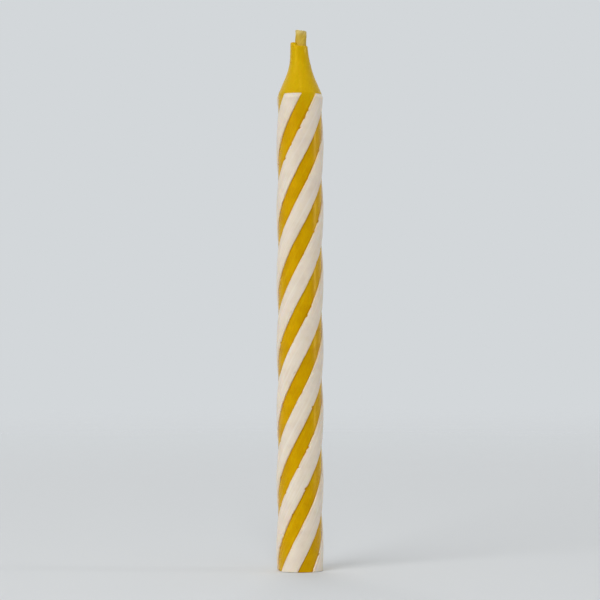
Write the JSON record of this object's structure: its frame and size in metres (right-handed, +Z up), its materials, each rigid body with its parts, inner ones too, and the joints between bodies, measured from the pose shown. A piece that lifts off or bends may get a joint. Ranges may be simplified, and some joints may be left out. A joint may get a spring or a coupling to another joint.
{
  "type": "spiral birthday candle",
  "caption": "Slim round birthday candle: a yellow wax rod with a tapered tip, wound with raised white wax ribbons in a right-handed spiral, on a waxed cotton wick.",
  "frame": {"origin": "centre of the candle's flat base", "axes": "+Z up the wick from the base to the tip, -Y towards the camera of the picture, +X to its right"},
  "size_m": [0.0056, 0.0056, 0.0635],
  "materials": {
    "yellow_wax": "satin paraffin wax",
    "white_wax": "satin paraffin wax",
    "waxed_cotton": "cotton soaked in wax"
  },
  "bodies": {
    "root": {"core": "yellow_wax", "stripe_1": "white_wax", "stripe_2": "white_wax", "stripe_3": "white_wax", "stripe_4": "white_wax", "wick": "waxed_cotton"}
  },
  "joints": []
}
